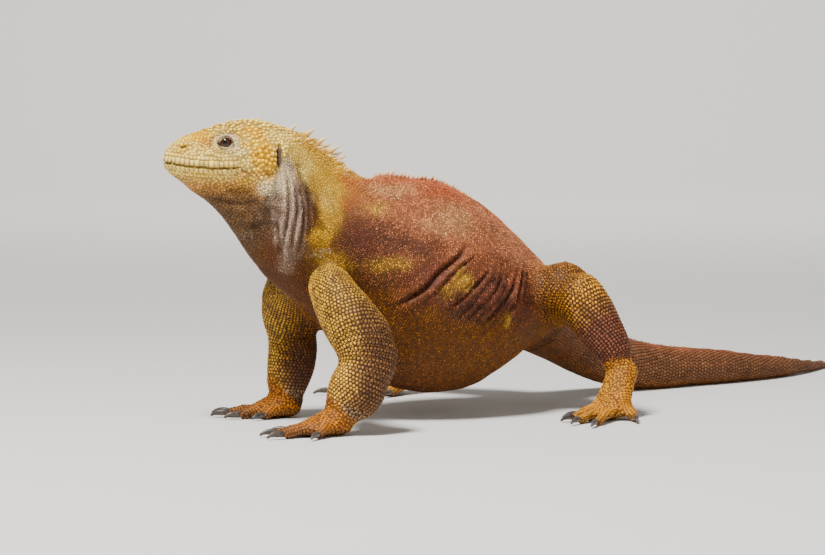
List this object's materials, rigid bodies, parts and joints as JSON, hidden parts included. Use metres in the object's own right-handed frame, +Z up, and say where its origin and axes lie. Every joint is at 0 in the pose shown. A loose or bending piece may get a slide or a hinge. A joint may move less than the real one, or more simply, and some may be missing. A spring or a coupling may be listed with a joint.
{
  "type": "land iguana model",
  "caption": "Life-size still model of a Galapagos land iguana, standing with its chest raised, head turned and tail laid on the floor.",
  "frame": {"origin": "middle of the base of the bounding box, on the floor that the animal stands on", "axes": "+Z up, -X the way the trunk points, so that the tail runs towards +X and the left side is towards -Y"},
  "size_m": [0.7836, 0.3422, 0.2414],
  "materials": {
    "head_skin": "pale yellow head scales with golden patches on snout, temple and cheek, dry and slightly rough",
    "neck_skin": "greyish pink loose neck skin in vertical pleats, yellow nape, dry",
    "trunk_skin": "fine granular scales, rust brown back, dark brown patch behind the shoulder, orange belly, dry",
    "tail_skin": "rings of small keeled reddish brown scales, dry",
    "leg_skin": "pale yellow scales in rows on darker brown skin, dry",
    "foot_skin": "orange scales on the feet with cross scutes on the toes, dry",
    "eye": "reddish brown iris round a dark pupil under a clear wet cornea",
    "eardrum": "thin dark brown membrane, slightly sunken",
    "claw": "dark grey horn, worn paler at the tips"
  },
  "bodies": {
    "root": {"head": "head_skin", "lower_jaw": "head_skin", "neck": "neck_skin", "trunk_front": "trunk_skin", "trunk_rear": "trunk_skin", "tail_1": "tail_skin", "tail_2": "tail_skin", "tail_3": "tail_skin", "tail_4": "tail_skin", "upper_arm_left": "leg_skin", "forearm_left": "leg_skin", "hand_left": "foot_skin", "upper_arm_right": "leg_skin", "forearm_right": "leg_skin", "hand_right": "foot_skin", "thigh_left": "leg_skin", "shin_left": "leg_skin", "foot_left": "foot_skin", "thigh_right": "leg_skin", "shin_right": "leg_skin", "foot_right": "foot_skin", "claw_hand_left_1": "claw", "claw_hand_left_2": "claw", "claw_hand_left_3": "claw", "claw_hand_left_4": "claw", "claw_hand_left_5": "claw", "claw_hand_right_1": "claw", "claw_hand_right_2": "claw", "claw_hand_right_3": "claw", "claw_hand_right_4": "claw", "claw_hand_right_5": "claw", "claw_foot_left_1": "claw", "claw_foot_left_2": "claw", "claw_foot_left_3": "claw", "claw_foot_left_4": "claw", "claw_foot_left_5": "claw", "claw_foot_right_1": "claw", "claw_foot_right_2": "claw", "claw_foot_right_3": "claw", "claw_foot_right_4": "claw", "claw_foot_right_5": "claw", "eye_left": "eye", "eye_right": "eye", "ear_left": "eardrum", "ear_right": "eardrum"}
  },
  "joints": []
}
